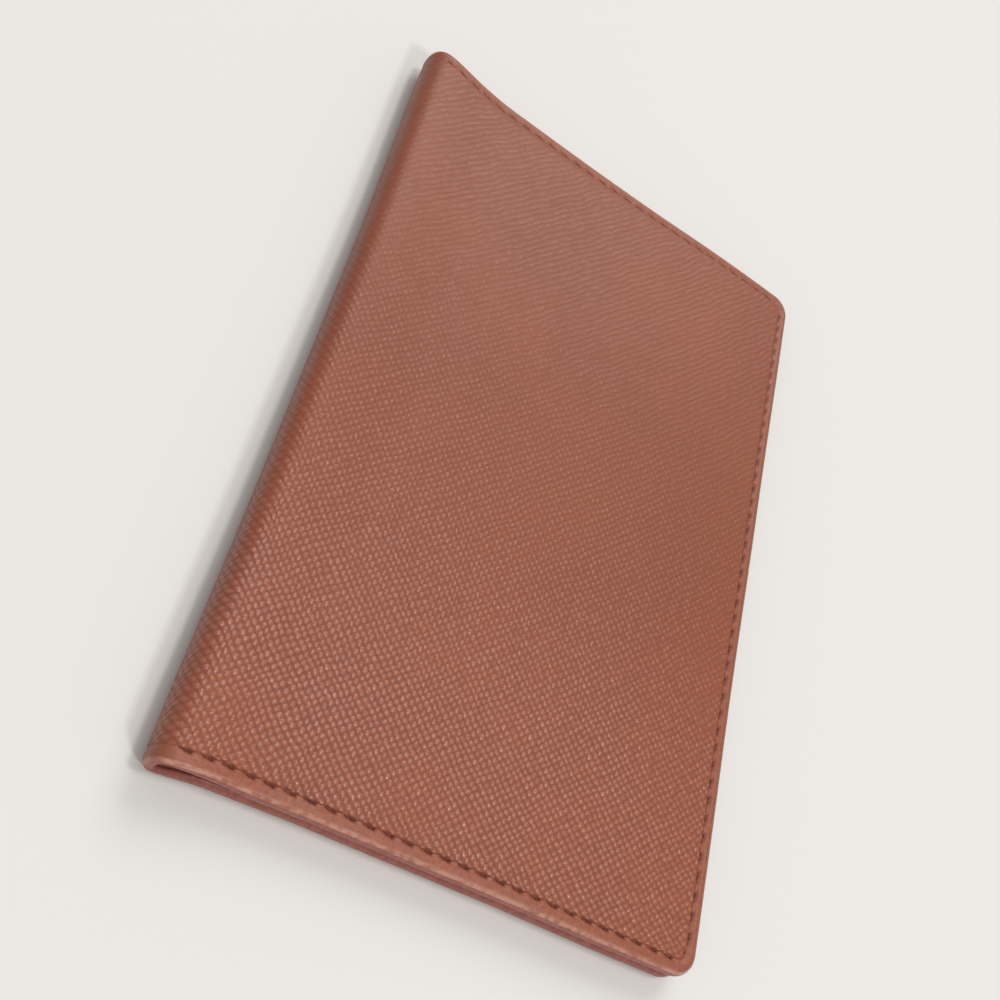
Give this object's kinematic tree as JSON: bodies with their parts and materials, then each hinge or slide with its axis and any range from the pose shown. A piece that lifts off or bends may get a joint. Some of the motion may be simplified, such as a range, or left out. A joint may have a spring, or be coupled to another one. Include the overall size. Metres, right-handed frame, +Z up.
{
  "type": "pocket notebook",
  "caption": "Slim pocket notebook: a stitched grained leather case with a rolled spine, opening flat on a stapled paper refill held in an inner sleeve.",
  "frame": {"origin": "middle of the closed case's footprint, on the surface that the back cover lies on", "axes": "+Z up through the covers, +Y along the spine to the head, +X from the spine to the fore edge"},
  "size_m": [0.0951, 0.147, 0.008],
  "materials": {
    "case_leather": "cross-grain embossed, satin",
    "lining_leather": "smooth, matte",
    "seam_thread": "waxed thread",
    "stiffener": "matte",
    "refill_card": "matte",
    "paper": "uncoated",
    "staple_wire": "bright drawn wire"
  },
  "bodies": {
    "back_cover": {"back_leather": "case_leather", "back_seam_thread": "seam_thread", "back_board": "stiffener", "back_lining": "lining_leather", "back_pocket": "lining_leather", "back_card": "refill_card", "leaf_07": "paper", "leaf_08": "paper", "leaf_09": "paper", "leaf_10": "paper", "leaf_11": "paper", "leaf_12": "paper"},
    "spine": {"spine_leather": "case_leather", "spine_lining": "lining_leather"},
    "front_cover": {"front_leather": "case_leather", "front_seam_thread": "seam_thread", "front_board": "stiffener", "front_lining": "lining_leather", "front_pocket": "lining_leather"},
    "booklet_fold": {"card_fold": "refill_card", "staple_top": "staple_wire", "staple_bottom": "staple_wire"},
    "front_card": {"front_card": "refill_card"},
    "leaf_01": {"leaf_01": "paper"},
    "leaf_02": {"leaf_02": "paper"},
    "leaf_03": {"leaf_03": "paper"},
    "leaf_04": {"leaf_04": "paper"},
    "leaf_05": {"leaf_05": "paper"},
    "leaf_06": {"leaf_06": "paper"}
  },
  "joints": [
    {"name": "spine_hinge", "type": "hinge", "parent": "back_cover", "child": "spine", "pos_m": [-0.04664, 0, 0.00086], "axis": [0, -1, 0], "range_deg": [0, 90]},
    {"name": "front_cover_hinge", "type": "hinge", "parent": "spine", "child": "front_cover", "pos_m": [-0.04664, 0, 0.00721], "axis": [0, -1, 0], "range_deg": [0, 91.26]},
    {"name": "booklet_fold_turn", "type": "hinge", "parent": "back_cover", "child": "booklet_fold", "pos_m": [-0.0419, 0, 0.00285], "axis": [0, -1, 0], "range_deg": [0, 89.5]},
    {"name": "front_card_turn", "type": "hinge", "parent": "back_cover", "child": "front_card", "pos_m": [-0.0419, 0, 0.00285], "axis": [0, -1, 0], "range_deg": [0, 179]},
    {"name": "leaf_01_turn", "type": "hinge", "parent": "back_cover", "child": "leaf_01", "pos_m": [-0.0419, 0, 0.00285], "axis": [0, -1, 0], "range_deg": [0, 177.7]},
    {"name": "leaf_02_turn", "type": "hinge", "parent": "back_cover", "child": "leaf_02", "pos_m": [-0.0419, 0, 0.00285], "axis": [0, -1, 0], "range_deg": [0, 176.3]},
    {"name": "leaf_03_turn", "type": "hinge", "parent": "back_cover", "child": "leaf_03", "pos_m": [-0.0419, 0, 0.00285], "axis": [0, -1, 0], "range_deg": [0, 174.9]},
    {"name": "leaf_04_turn", "type": "hinge", "parent": "back_cover", "child": "leaf_04", "pos_m": [-0.0419, 0, 0.00285], "axis": [0, -1, 0], "range_deg": [0, 173.4]},
    {"name": "leaf_05_turn", "type": "hinge", "parent": "back_cover", "child": "leaf_05", "pos_m": [-0.0419, 0, 0.00285], "axis": [0, -1, 0], "range_deg": [0, 171.8]},
    {"name": "leaf_06_turn", "type": "hinge", "parent": "back_cover", "child": "leaf_06", "pos_m": [-0.0419, 0, 0.00285], "axis": [0, -1, 0], "range_deg": [0, 170]}
  ],
  "couplings": [
    {"joint": "front_cover_hinge", "follows": "spine_hinge", "ratio": 1.014},
    {"joint": "booklet_fold_turn", "follows": "spine_hinge", "ratio": 0.99444},
    {"joint": "front_card_turn", "follows": "spine_hinge", "ratio": 1.9889},
    {"joint": "leaf_01_turn", "follows": "spine_hinge", "ratio": 1.9744},
    {"joint": "leaf_02_turn", "follows": "spine_hinge", "ratio": 1.9589},
    {"joint": "leaf_03_turn", "follows": "spine_hinge", "ratio": 1.9433},
    {"joint": "leaf_04_turn", "follows": "spine_hinge", "ratio": 1.9267},
    {"joint": "leaf_05_turn", "follows": "spine_hinge", "ratio": 1.9089},
    {"joint": "leaf_06_turn", "follows": "spine_hinge", "ratio": 1.8889}
  ]
}
